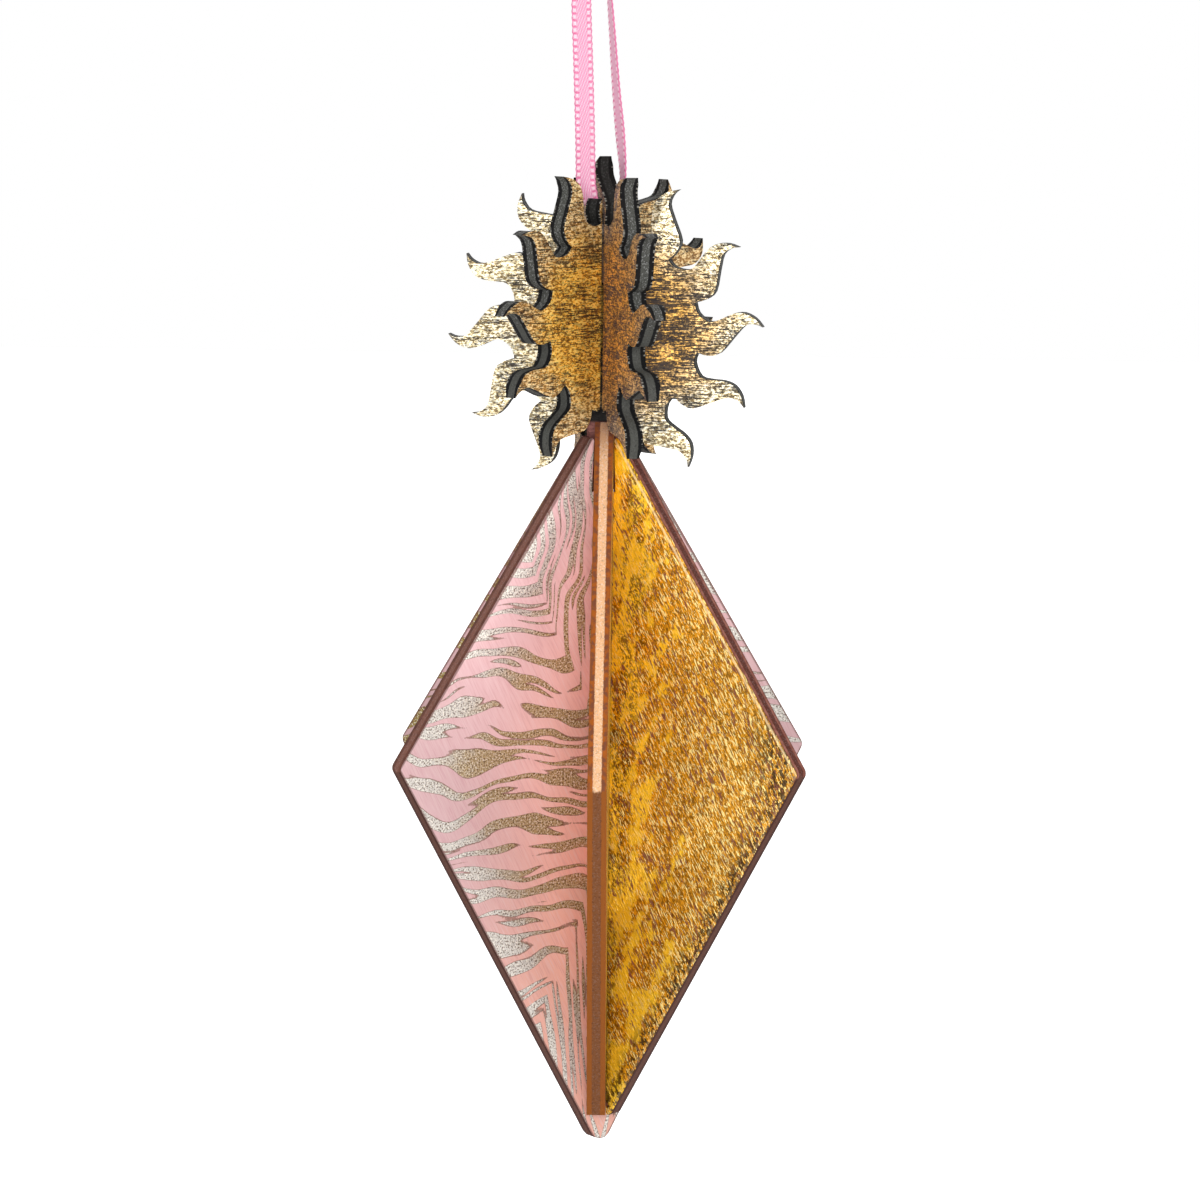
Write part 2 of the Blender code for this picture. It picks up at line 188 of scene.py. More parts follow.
def zebra_print(name, azimuth, seed, pale, deep):
    """Pink paint with flowing stripes of grainy foil, each with a fine dark outline.

    The stripes run outward in waves, and near the axis, above and below, they turn to run along it.
    The foil is pale near the plate's edges and deep farther in, and painted shade darkens the print towards
    the outer and lower edges. Each seed gives a layout of its own.
    """
    cool_pink, warm_pink, pale_hair, deep_hair = shades("E0B6B8 F2B29E E8C8C8 CC9496")
    foil_glint, foil_grit, outline_brown, cut_brown, shade_tone = shades("F4ECDE 5E4634 87604E 6A4238 33231E")
    f = Finish(name)
    where = f.plate_space(azimuth, BODY)
    shifted = f.tree.nodes.new("ShaderNodeVectorMath")
    f.put(shifted.inputs[0], where)
    f.put(shifted.inputs[1], (seed * 37.0, 0, seed * 53.0))
    place = shifted.outputs[0]
    out, up = f.part(where, "X"), f.part(where, "Z")
    from_axis = f.calc("ABSOLUTE", out)

    # level runs across the stripes and along runs down them. Both turn a corner near the axis
    wave = f.line(f.cloud(place, 0.062, 0.0), 9.0, -4.5)
    shake = f.line(f.cloud(place, 0.17, 0.0), 3.0, -1.5)
    meander = f.plus(wave, shake)
    inward = f.plus(from_axis, f.times(shake, 0.6))
    upper = f.larger(f.minus(f.line(up, 0.46, -0.5), inward), 0.0)
    lower = f.larger(f.minus(f.line(up, -0.40, -5.2), inward), 0.0)
    level = f.plus(f.plus(up, meander), f.times(f.minus(lower, upper), 1.75))
    along = f.plus(from_axis, f.times(f.plus(upper, lower), 2.0))

    # A stripe is broad noise, a steady beat and its echo together, with a rough edge
    band = f.tree.nodes.new("ShaderNodeCombineXYZ")
    f.put(band.inputs[0], f.times(level, 0.62))
    f.put(band.inputs[1], f.times(along, 0.085))
    band.inputs[2].default_value = seed * 7.3
    broad = f.line(f.cloud(band.outputs[0], 1.0, 1.0, 0.5), 4.2, -2.1)
    beat = f.times(f.calc("SINE", f.times(level, 2 * pi / STRIPE_GAP)), 0.55)
    echo = f.times(f.calc("SINE", f.times(level, 2 * pi / ECHO_GAP)), 0.34)
    stripe = f.plus(broad, f.plus(beat, echo))
    rough = f.plus(stripe, f.line(f.cloud(place, 3.4, 1.0), 0.16, -0.08))
    is_foil = f.rise(rough, 0.10, 0.15)
    outline = f.times(f.rise(rough, 0.02, 0.07), f.rise(rough, 0.21, 0.15))

    grain = f.cloud(place, 3.6, 2.0, 0.75)
    coarse = f.cloud(place, 0.8, 2.0, 0.6)
    edge = to_kite_edge(f, out, up)
    foil = f.blend(f.rise(f.plus(edge, f.times(coarse, 8.0)), 7.0, 15.0), pale, deep)
    foil = f.blend(f.rise(grain, 0.55, 0.61), foil, foil_glint)
    foil = f.blend(f.times(f.rise(grain, 0.465, 0.405), 0.95), foil, foil_grit)
    hair = f.cloud(f.drawn_out(place, 28, 0.16, 3.2), 1.0, 2.0)
    # Warmer, lighter pink towards the axis and lower down: partly the paint's own tone, partly painted light
    # against the shade where the plates meet
    paint = f.blend(f.rise(f.plus(from_axis, f.times(up, 0.3)), 26.0, -6.0), cool_pink, warm_pink)
    paint = f.blend(f.times(f.rise(hair, 0.52, 0.68), 0.40), paint, pale_hair)
    paint = f.blend(f.times(f.rise(hair, 0.46, 0.34), 0.35), paint, deep_hair)
    colour = f.blend(f.times(outline, 0.7), f.blend(is_foil, paint, foil), outline_brown)
    colour = f.blend(f.times(f.rise(edge, 0.32, 0.10), 0.8), colour, cut_brown)
    # Painted shade: darker towards the outer and lower edges
    shade_share = f.rise(f.plus(from_axis, f.times(up, -0.6)), 8.0, 32.0)
    colour = f.blend(f.times(shade_share, 0.27), colour, shade_tone)
    f.relief(f.plus(f.times(is_foil, f.plus(grain, 0.4)), f.times(hair, 0.12)), 0.06)
    return f.done(Base_Color=colour, Metallic=f.times(is_foil, 0.5),
                  Roughness=f.line(is_foil, -0.14, 0.48))


def gold_panel(name, azimuth):
    """Creased gold foil over the wood, worn through in fine leaning dashes.

    It is smooth and bright near the axis, and more and more creased towards the outer edges. The creases
    carry painted highlights and painted shade, a painted highlight runs along the edge, and painted shade
    darkens the foil towards the outer and lower edges.
    """
    smooth_gold, near_gold, far_gold, highlight_gold = shades("FFCC30 E69C12 DE9A20 FFEC9E")
    bronze, umber, crease_shade_brown, pit_brown = shades("6F4C08 4A2E0A 5C3A06 1E1206")
    bare_wood, highlight_cream, shade_tone = shades("80493A FFE3B0 5E3C06")
    f = Finish(name)
    where = f.plate_space(azimuth, BODY)
    out, up = f.part(where, "X"), f.part(where, "Z")
    edge = to_kite_edge(f, out, up)
    outward = f.rise(out, 3.0, 24.0)
    patch = f.cloud(f.drawn_out(where, 20, 3.2, 6.0), 1.0, 3.0, 0.6)
    mottle = f.cloud(f.drawn_out(where, -28, 0.22, 0.5), 1.0, 2.0, 0.65)
    crease = f.cloud(f.drawn_out(where, -30, 0.17, 1.1), 1.0, 1.0, 0.5, 0.3)
    glint = f.cloud(f.drawn_out(where, -30, 0.16, 0.55), 1.0, 1.0, 0.6)
    dash = f.cloud(f.drawn_out(where, -27, 0.28, 1.4), 1.0, 3.0, 0.55)
    rubbed = f.cloud(f.drawn_out(where, -20, 4.0, 6.0), 1.0, 2.0)
    flecks = f.cloud(f.drawn_out(where, -24, 0.42, 0.85), 1.0, 2.0, 0.6)

    crumpled = f.rise(f.plus(patch, f.times(outward, 0.30)), 0.50, 0.60)
    gold = f.blend(crumpled, smooth_gold, f.blend(outward, near_gold, far_gold))
    gold = f.blend(f.times(f.rise(mottle, 0.48, 0.42), f.line(crumpled, 0.6, 0.2)), gold, bronze)

    # A murky band a few millimetres out from the axis
    beside = f.plus(out, f.times(up, -0.06))
    band = f.times(f.rise(beside, 1.8, 3.2), f.rise(beside, 8.0, 5.2))
    smoke = f.cloud(f.drawn_out(where, 4, 2.2, 8.0), 1.0, 1.0)
    murk = f.times(f.rise(smoke, 0.42, 0.52), band)
    gold = f.blend(f.times(f.times(murk, 0.78), f.rise(mottle, 0.55, 0.46)), gold, umber)

    # Painted shade and painted highlights: the shaded and the lit side of the creases
    shine = f.times(outward, 0.03)
    shadow = f.larger(f.rise(crease, 0.43, 0.37), f.rise(flecks, 0.42, 0.37))
    gold = f.blend(f.times(shadow, f.line(crumpled, 0.55, 0.10)), gold, crease_shade_brown)
    bright = f.larger(f.rise(f.plus(crease, shine), 0.62, 0.645),
                      f.rise(f.plus(glint, shine), 0.66, 0.685))
    gold = f.blend(f.times(bright, f.line(crumpled, 0.6, 0.35)), gold, highlight_gold)

    # Pits at the outer corner and along the lower edge
    pitted = f.larger(f.rise(out, 25.0, 31.0), f.times(f.rise(edge, 4.0, 0.8), f.rise(up, 2.0, -4.0)))
    pits = f.rise(f.plus(flecks, f.times(patch, 0.2)), 0.60, 0.57)
    gold = f.blend(f.times(f.times(pitted, 0.92), pits), gold, pit_brown)

    worn = f.times(f.rise(dash, 0.575, 0.595), f.rise(rubbed, 0.40, 0.52))
    colour = f.blend(f.times(worn, 0.92), gold, bare_wood)
    # A painted highlight along the plate's edge, stronger on the upper edges, which face the light from
    # above
    rim_highlight = f.times(f.rise(edge, 0.62, 0.40), f.rise(edge, 0.10, 0.22))
    colour = f.blend(f.times(rim_highlight, f.line(f.rise(up, -1.0, 1.0), 0.45, 0.12)), colour, highlight_cream)
    # Painted shade: darker towards the outer and lower edges
    shade_share = f.rise(f.plus(out, f.times(up, -0.6)), -2.0, 24.0)
    colour = f.blend(f.times(shade_share, 0.18), colour, shade_tone)
    f.relief(f.plus(f.times(crease, 0.9), f.plus(f.times(glint, 0.5), f.times(worn, -0.3))), 0.16)
    f.shader.inputs["Specular IOR Level"].default_value = 0.2
    return f.done(Base_Color=colour, Metallic=f.line(worn, -0.3, 0.32),
                  Roughness=f.line(worn, 0.2, 0.32))


def sun_foil(name, azimuth, level, tones, wear, hub_wear, blotted):
    """Foil rubbed back along the wood's level grain, so that the dark stain shows in dashes.

    tones are the foil about the hub and farther out, the bright grain in both, a dark grain and the stain.
    wear is how much of the foil is gone and hub_wear how much more about the hub. blotted is how plainly its
    blots show.
    """
    near, far, near_bright, bright, dark, stain = tones
    axis_black, sunk_brown = shades("120E0A 7C4C46")
    f = Finish(name)
    where = f.plate_space(azimuth, level)
    out, up = f.part(where, "X"), f.part(where, "Z")
    from_axis = f.calc("ABSOLUTE", out)
    radius = f.calc("SQRT", f.plus(f.times(out, out), f.times(up, up)))
    dashes = f.cloud(f.drawn_out(where, 90, 0.14, 2.4), 1.0, 2.0, 0.6)
    grain = f.cloud(f.drawn_out(where, 90, 0.26, 0.5), 1.0, 2.0, 0.65)
    sparks = f.cloud(where, 3.3, 1.0, 0.6)
    blots = f.cloud(f.drawn_out(where, 90, 0.6, 1.1), 1.0, 3.0, 0.65)
    pores = f.cloud(f.drawn_out(where, 90, 0.6, 4.5), 1.0, 1.0)
    patches = f.cloud(f.drawn_out(where, 90, 3.0, 6.0), 1.0, 2.0)

    spread = f.plus(f.plus(radius, f.times(out, -0.35)), f.times(patches, 6.0))
    hub = f.rise(spread, 19.0, 11.0)
    afar = f.rise(spread, 10.5, 17.0)
    foil = f.blend(afar, near, far)
    foil = f.blend(f.times(f.rise(grain, 0.50, 0.56), 0.95), foil, f.blend(afar, near_bright, bright))
    foil = f.blend(f.times(f.rise(grain, 0.475, 0.425), 0.9), foil, dark)
    foil = f.blend(f.times(f.rise(blots, 0.54, 0.59), blotted), foil, stain)

    # Bare in dashes, along fine pores and at the burnt tips
    rubbed = f.plus(f.times(dashes, 0.70), f.plus(f.times(sparks, 0.30), f.times(patches, 0.42)))
    dashed = f.rise(f.plus(rubbed, f.line(hub, hub_wear, wear)), 0.778, 0.794)
    lines = f.times(f.rise(f.calc("ABSOLUTE", f.plus(pores, -0.5)), 0.026, 0.012), f.rise(blots, 0.42, 0.50))
    burnt = f.rise(f.plus(radius, f.times(sparks, 0.8)), 23.2, 24.0)
    bare = f.larger(f.larger(f.times(dashed, 0.9), f.times(lines, 0.8)), f.times(burnt, 0.75))

    # Painted shade: near black beside the axis in the corner between two plates, and where the tongue goes
    # down into the body; lower down these places are the pink-brown stain
    pocket_shade = f.times(f.rise(up, SUN_FOOT - level, SUN_FOOT - level - 0.5), f.rise(from_axis, 3.6, 3.2))
    sunk = f.rise(up, SUN_FOOT - level - 2.1, SUN_FOOT - level - 2.7)
    corner = f.times(f.rise(f.plus(from_axis, f.times(sparks, 0.5)), 3.15, 2.9), 0.6)
    colour = f.blend(f.larger(pocket_shade, corner), f.blend(bare, foil, stain), f.blend(sunk, axis_black, sunk_brown))
    f.relief(f.plus(f.times(grain, 0.5), f.times(bare, -0.5)), 0.08)
    f.shader.inputs["Specular IOR Level"].default_value = 0.25
    return f.done(Base_Color=colour, Metallic=f.line(bare, -0.38, 0.4),
                  Roughness=f.line(bare, 0.3, 0.36))


def charred_edge(name, azimuth, level, upper, lower, glint=0.5, ribbed=0.0, axis_black=0.0):
    """A laser-cut edge of three plies, with painted light: lighter above the plate's own level, where the
    edge faces up, and in painted shade below it, where it faces down.

    upper is the lit core and two tones of the skins, and lower is the shaded core and the skins. glint is
    how much painted sparkle the core has, ribbed how plainly the cut has left its ribs, with painted
    highlights on them, and the last how black it is beside the axis.
    """
    peak_brown, near_black, rib_highlight = shades("6B3D30 110F0E C9C4B8")
    f = Finish(name, roughness=0.75)
    where = f.plate_space(azimuth, level)
    through = f.calc("ABSOLUTE", f.part(where, "Y"))
    fibres = f.cloud(where, 2.6, 4.0, 0.7)
    glitter = f.cloud(where, 4.0, 1.0)
    ribs = f.cloud(f.drawn_out(where, 0, 0.11, 0.11), 0.36, 1.0)
    smoke = f.cloud(f.drawn_out(where, 0, 0.5, 3.2), 1.0, 2.0)
    edge_of_core = f.plus(through, f.line(fibres, 0.4, -0.2))
    is_skin = f.rise(edge_of_core, CORE_HALF - 0.05, CORE_HALF + 0.10)
    # Painted light: lit colours above the plate's level, where the edge faces up, and painted shade below it
    is_shaded_below = f.rise(f.plus(f.part(where, "Z"), f.times(fibres, 0.8)), 0.2, -0.4)
    core = f.blend(is_shaded_below, upper[0], lower[0])
    skin = f.blend(is_shaded_below, f.blend(f.rise(smoke, 0.40, 0.60), upper[1], upper[2]), lower[1])
    # Painted sparkle: painted highlights on the core, fewer below where less light falls
    glinting = f.times(f.rise(glitter, 0.54, 0.66), f.line(is_shaded_below, -0.85 * glint, glint))
    core = f.blend(glinting, core, f.blend(0.45, core, WHITE))
    core = f.blend(f.times(f.rise(fibres, 0.48, 0.34), 0.6), core, f.blend(0.6, core, BLACK))
    colour = f.blend(is_skin, core, skin)
    colour = f.blend(f.times(f.rise(through, PLY / 2 - 0.26, PLY / 2 - 0.08), 0.6), colour, lower[1])
    peak = f.rise(f.plus(f.part(where, "Z"), f.times(fibres, 3.0)), 45.0, 52.5)
    colour = f.blend(f.times(peak, 0.6), colour, peak_brown)
    # Blacker beside the axis
    by_axis = f.rise(f.calc("ABSOLUTE", f.part(where, "X")), 4.6, 3.0)
    colour = f.blend(f.times(by_axis, axis_black), colour, near_black)
    # Painted highlights where the cut's ribs catch the light
    lit_ribs = f.times(f.rise(ribs, 0.53, 0.60), f.rise(through, PLY / 2 - 0.36, PLY / 2 - 0.16))
    colour = f.blend(f.times(lit_ribs, ribbed), colour, rib_highlight)
    f.relief(f.plus(f.times(fibres, 0.8), f.plus(f.times(is_skin, 0.25), f.times(ribs, ribbed))), 0.12)
    f.shader.inputs["Specular IOR Level"].default_value = 0.1
    return f.done(Base_Color=colour)


# Making the plates


def only(piece):
    bpy.ops.object.select_all(action="DESELECT")
    piece.select_set(True)
    bpy.context.view_layer.objects.active = piece


def outward_way(azimuth):
    return Vector((cos(radians(azimuth)), sin(radians(azimuth)), 0))


def as_share(value):
    """The value, kept between nought and one."""
    return min(1.0, max(0.0, value))


def close_slots(piece, azimuth):
    """Moves the slots' walls towards the axis, so that no daylight shows past the plate that they hold."""
    along = outward_way(azimuth)
    for vertex in piece.data.vertices:
        out = (vertex.co - Vector((AXIS * MM, 0, 0))).dot(along)
        share = as_share((SLOT_TO * MM - abs(out)) / (SLOT_FADE * MM))
        if abs(out) > SLOT_FROM * MM and share:
            vertex.co -= along * (share * SLOT_DRAWN_IN * MM * (1 if out > 0 else -1))


def raise_peak(piece, azimuth, drawn_in):
    """Draws the plate's two upper horns in towards the tongue, in mm, and up into the sun's foot."""
    along = outward_way(azimuth)
    for vertex in piece.data.vertices:
        out = (vertex.co - Vector((AXIS * MM, 0, 0))).dot(along)
        up = vertex.co.z - BODY * MM
        share = as_share((up / MM - HORN_FOOT) / HORN_RISE)
        if share and abs(out) < HORN_REACH * MM:
            vertex.co.z += share * HORN_RAISED * MM
            vertex.co -= along * (share * drawn_in * MM * (1 if out > 0 else -1))


def thin_tips(piece, azimuth, level):
    """Brings the burnt tips of the rays in towards the middle ply."""
    square = Vector((-sin(radians(azimuth)), cos(radians(azimuth)), 0))
    centre = Vector((AXIS * MM, 0, level * MM))
    for vertex in piece.data.vertices:
        place = vertex.co - centre
        through = place.dot(square)
        radius = (place - square * through).length / MM
        share = as_share((radius - TIP_FROM) / TIP_LENGTH)
        vertex.co -= square * (through * TIP_THINNED * share)


def plate(node, name, azimuth, finishes, slot):
    """A finished plate from its solid: its edges eased, its two faces and its cut edge each in their finish.

    finishes are the cut edge, then each face's outer and other half, first on the side of the plate's +Y.
    """
    only(node)
    bpy.ops.object.duplicate()
    piece = bpy.context.object
    piece.name = piece.data.name = name
    piece.parent = None
    bpy.ops.object.mode_set(mode="EDIT")
    bpy.ops.mesh.select_all(action="SELECT")
    bpy.ops.mesh.remove_doubles(threshold=MERGED)
    bpy.ops.mesh.dissolve_limited(angle_limit=radians(FLAT))
    bpy.ops.object.mode_set(mode="OBJECT")
    if slot.startswith("body"):
        close_slots(piece, azimuth)
        raise_peak(piece, azimuth, FRONT_HORN_DRAWN_IN if azimuth == FRONT else HORN_DRAWN_IN)
    else:
        thin_tips(piece, azimuth, SUN - TONGUE_DROP if azimuth == TONGUE else SUN)
    if piece.data.has_custom_normals:
        bpy.ops.mesh.customdata_custom_splitnormals_clear()
    eased = piece.modifiers.new("eased", "BEVEL")
    eased.width = EASED * MM
    eased.segments = 2
    eased.limit_method = "ANGLE"
    eased.angle_limit = radians(SHARP)
    bpy.ops.object.modifier_apply(modifier=eased.name)
    along = outward_way(azimuth)
    bpy.ops.object.mode_set(mode="EDIT")
    bpy.ops.mesh.select_all(action="SELECT")
    bpy.ops.mesh.bisect(plane_co=(AXIS * MM, 0, 0), plane_no=along)
    bpy.ops.object.mode_set(mode="OBJECT")
    piece.data.materials.clear()
    for finish in finishes:
        piece.data.materials.append(finish)
    square = Vector((-along.y, along.x, 0))
    for face in piece.data.polygons:
        facing = face.normal.dot(square)
        inner = (face.center - Vector((AXIS * MM, 0, 0))).dot(along) < 0
        if abs(facing) > 0.5:
            face.material_index = 1 + inner + (2 if facing < 0 else 0)
        else:
            face.material_index = 0
    bpy.ops.object.shade_smooth_by_angle(angle=radians(PLATE_SMOOTH))
    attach(piece, "bauble")
    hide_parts(node.name)


# Making the ribbon

# Its route from the hang point, or from the hole for the loop: right, back and up in mm, then the
# azimuth of its width and its curl
LEFT_STRAND = (
    (-2.75, 0.0, 42.8, 90, 0.0), (-2.9, 0.0, 41.7, 90, 0.0), (-3.05, 0.0, 41.0, 98, 0.0),
    (-3.9, -0.05, 38.0, 142, 0.0), (-4.2, -0.1, 33.8, 178, 0.0), (-3.8, -0.1, 24.0, 181, 0.0),
    (-3.42, -0.1, 14.0, 180, 0.0), (-3.27, -0.12, 8.0, 179, 0.0),
)
THROUGH_HOLE = (
    (-3.0, 0.95, 6.2, 152, 0.0), (-2.5, 0.65, 4.4, 128, 0.0), (-2.0, 0.4, 3.0, 102, 0.0),
    (-1.76, 0.12, 2.0, 91, 0.1), (-1.6, 0.0, 1.62, 90, 0.35), (-1.25, 0.0, 1.475, 90, 0.7),
    (1.25, 0.0, 1.475, 90, 0.7), (1.6, 0.0, 1.62, 90, 0.35), (1.76, 0.12, 2.0, 90, 0.1),
    (1.93, 0.4, 3.0, 84, 0.0), (2.15, 0.55, 4.4, 80, 0.0),
)
RIGHT_STRAND = (
    (2.25, 1.0, 8.0, 108, 0.0), (1.77, 0.9, 14.0, 118, 0.0), (1.07, 0.6, 21.0, 113, 0.0),
    (0.0, 0.2, 33.8, 104, 0.0), (-0.75, 0.1, 38.0, 98, 0.0), (-2.05, 0.0, 41.0, 92, 0.0),
    (-2.3, 0.0, 41.7, 90, 0.0), (-2.45, 0.0, 42.8, 90, 0.0),
)
LEFT_TAIL = (
    (-0.4, 0.0, 2.6, 90, 0.0), (-0.45, 0.0, 3.5, 90, 0.0), (-0.7, 0.1, 5.2, 80, 0.0),
    (-1.9, 0.3, 7.4, 70, 0.2), (-3.6, 0.2, 9.0, 74, 0.1),
)
RIGHT_TAIL = (
    (0.4, 0.0, 2.6, 90, 0.0), (0.45, 0.0, 3.5, 90, 0.0), (0.6, -0.1, 5.4, 96, 0.0),
    (1.3, -0.3, 7.8, 108, 0.2), (2.6, -0.2, 10.0, 104, 0.1),
)
RIBBON_WIDTH, RIBBON_THICKNESS = 3.0, 0.22
RIBBON_LOOPS = 0.97  # from one small loop of the woven edge to the next, in mm
RIBBON_GAP = 0.11  # from one row of points to the next
CURVE_STEPS = 24  # of a route's curve, from one of its points to the next
ROWS_AHEAD = 4  # to both sides, from which a row takes its direction
LINE_ROWS = 8  # from one point of the middle line to the next
CUT_ROWS, CUT_SLANT = 12, 0.9  # rows over which a tail's end is slanted, and by how many mm

# Points across a row, as shares of the half width, and how far the woven edge is drawn in between its loops
ACROSS = (-1, -0.93, -0.78, -0.6, -0.3, 0, 0.3, 0.6, 0.78, 0.93, 1)
FRINGE_FROM, FRINGE = 0.9, 0.03

# The thickness at the brim, along the woven edge with its loops, and between, as shares of the ribbon's
EDGE_FROM = 0.7
BRIM_THICK, EDGE_THICK, LOOP_THICK, FIELD_THICK = 0.35, 1.05, 0.2, 0.9

# The knot, in mm
KNOT_LEVEL = 1.6
KNOT_CORE = (1.15, 1.5, 1.05)
KNOT_REACH = (1.5, 1.85, 1.45)
KNOT_CURL = 0.36
KNOT_ROWS = 110  # in each turn
KNOT_TURNS = ((6, 0, 0.92, 2.2), (62, 28, 1.04, 1.5), (-50, -24, 1.15, 1.35))  # tilt, turn, size and width


def placed(rows, start, turn=0):
    """Rows of a route as places and turns, in metres and degrees."""
    turned = Matrix.Rotation(radians(turn), 3, "Z")
    return [((start + turned @ Vector(r[:3])) * MM, Vector((r[3] + turn, r[4] * MM))) for r in rows]


def smooth(points, steps):
    """A curve through all the points."""
    line = []
    for i in range(len(points) - 1):
        before, start = points[max(i - 1, 0)], points[i]
        end, after = points[i + 1], points[min(i + 2, len(points) - 1)]
        for k in range(steps):
            t = k / steps
            line.append(0.5 * (2 * start + (end - before) * t
                               + (2 * before - 5 * start + 4 * end - after) * t**2
                               + (3 * start - before - 3 * end + after) * t**3))
    line.append(points[-1])
    return line


def even_rows(rows, gap):
    """Rows read at an even distance from a smooth curve through these, and the curve's length."""
    places = smooth([row[0] for row in rows], CURVE_STEPS)
    turns = smooth([row[1] for row in rows], CURVE_STEPS)
    even, travelled, wanted = [], 0.0, 0.0
    for (a, b), (turn_a, turn_b) in zip(zip(places, places[1:]), zip(turns, turns[1:])):
        step = (b - a).length
        while step and wanted <= travelled + step:
            t = (wanted - travelled) / step
            even.append((a.lerp(b, t), turn_a.lerp(turn_b, t)))
            wanted += gap
        travelled += step
    return even, travelled


def woven(name, rows, finish, width=RIBBON_WIDTH, closed=False, slant=0.0):
    """A strip of ribbon over rows of place, width's direction and curl.

    Its map runs across and along, in mm.
    """
    points, faces, places = [], [], []
    ring, count = 2 * len(ACROSS), len(rows)
    for i, (place, wide, crown) in enumerate(rows):
        if closed:
            ahead = rows[(i + ROWS_AHEAD) % count][0] - rows[i - ROWS_AHEAD][0]
        else:
            ahead = rows[min(i + ROWS_AHEAD, count - 1)][0] - rows[max(i - ROWS_AHEAD, 0)][0]
        ahead.normalize()
        wide = (wide - ahead * wide.dot(ahead)).normalized()
        out = ahead.cross(wide)
        full = width * MM / 2
        half = (full + sqrt(max(full**2 - 8 / 3 * crown**2, 0))) / 2
        beat = sin(2 * pi * i * RIBBON_GAP / RIBBON_LOOPS)
        cut = slant * MM * max(0.0, 1 - (count - 1 - i) / CUT_ROWS)
        for side in (1, -1):
            for share in ACROSS[::side]:
                fringe = FRINGE * (1 - beat) if abs(share) > FRINGE_FROM else 0
                thick = EDGE_THICK + LOOP_THICK * beat if abs(share) > EDGE_FROM else FIELD_THICK
                if abs(share) == 1:
                    thick = BRIM_THICK
                middle = place + wide * (half * share * (1 - fringe)) - out * (crown * share**2)
                middle += ahead * (cut * share)
                way = (out * half + wide * (2 * crown * share)).normalized()
                points.append(middle + way * (side * thick * RIBBON_THICKNESS / 2 * MM))
                places.append((share * RIBBON_WIDTH / 2, i * RIBBON_GAP))
    for i in range(count if closed else count - 1):
        start, end = i * ring, (i + 1) % count * ring
        for k in range(ring):
            after = (k + 1) % ring
            faces.append((start + k, start + after, end + after, end + k))
    if not closed:
        faces.append(tuple(range(ring))[::-1])
        faces.append(tuple(range((count - 1) * ring, count * ring)))
    mesh = bpy.data.meshes.new(name)
    mesh.from_pydata(points, [], faces)
    across = mesh.uv_layers.new(name="across_and_along")
    for loop in mesh.loops:
        across.data[loop.index].uv = places[loop.vertex_index]
    piece = bpy.data.objects.new(name, mesh)
    bpy.context.collection.objects.link(piece)
    only(piece)
    bpy.ops.object.mode_set(mode="EDIT")
    bpy.ops.mesh.select_all(action="SELECT")
    bpy.ops.mesh.normals_make_consistent(inside=False)
    bpy.ops.object.mode_set(mode="OBJECT")
    bpy.ops.object.shade_smooth_by_angle(angle=radians(RIBBON_SMOOTH))
    piece.data.materials.append(finish)
    return piece


def ribbon(name, rows, finish, slant=0.0):
    """Narrow satin ribbon along a route, with its middle line and its length."""
    rows, length = even_rows(rows, RIBBON_GAP * MM)
    spread = [(place, outward_way(turn.x), max(turn.y, 0.0)) for place, turn in rows]
    piece = woven(name, spread, finish, slant=slant)
    return piece, [row[0] for row in rows[::LINE_ROWS]] + [rows[-1][0]], length


def satin():
    """Pink satin: a fine diagonal weave between two rows of small bright loops."""
    deep_pink, pale_pink, groove_pink = shades("D78DAC DFB3C4 D8709C")
    edge_pink, loop_pink, gap_pink, brim_pink = shades("E286A9 EBC8D4 C84C7E D86E9A")
    f = Finish("pink_satin", roughness=0.42)
    place = f.tree.nodes.new("ShaderNodeUVMap")
    place.uv_map = "across_and_along"
    across, along = f.part(place.outputs[0], "X"), f.part(place.outputs[0], "Y")
    near_edge = f.calc("ABSOLUTE", across)
    twill = f.calc("SINE", f.times(f.plus(across, f.times(along, -0.42)), 2 * pi / 0.40))
    picks = f.calc("SINE", f.times(f.plus(along, f.times(across, 0.25)), 2 * pi / 0.62))
    weave = f.plus(f.times(twill, 0.6), f.times(f.times(twill, picks), 0.4))
    to_side = f.times(f.calc("SIGN", across), 0.2)
    beat = f.calc("SINE", f.times(f.plus(along, to_side), 2 * pi / RIBBON_LOOPS))
    edge_band = f.times(f.rise(near_edge, 0.74, 0.88), f.rise(near_edge, 1.34, 1.22))
    loops = f.times(f.rise(beat, -0.5, 0.2), edge_band)
    gap_band = f.times(f.rise(near_edge, 0.66, 0.78), f.rise(near_edge, 1.42, 1.3))
    gaps = f.times(f.rise(beat, -0.55, -0.95), gap_band)
    colour = f.blend(f.rise(weave, -0.1, 0.75), deep_pink, pale_pink)
    colour = f.blend(f.times(f.rise(weave, -0.2, -0.8), 0.7), colour, groove_pink)
    colour = f.blend(edge_band, colour, edge_pink)
    colour = f.blend(f.times(loops, 0.9), colour, loop_pink)
    colour = f.blend(f.times(gaps, 0.7), colour, gap_pink)
    colour = f.blend(f.rise(near_edge, 1.34, 1.44), colour, brim_pink)
    f.relief(f.plus(f.times(weave, 0.3), f.times(loops, 0.8)), 0.06)
    return f.done(Base_Color=colour, Sheen_Weight=0.05)


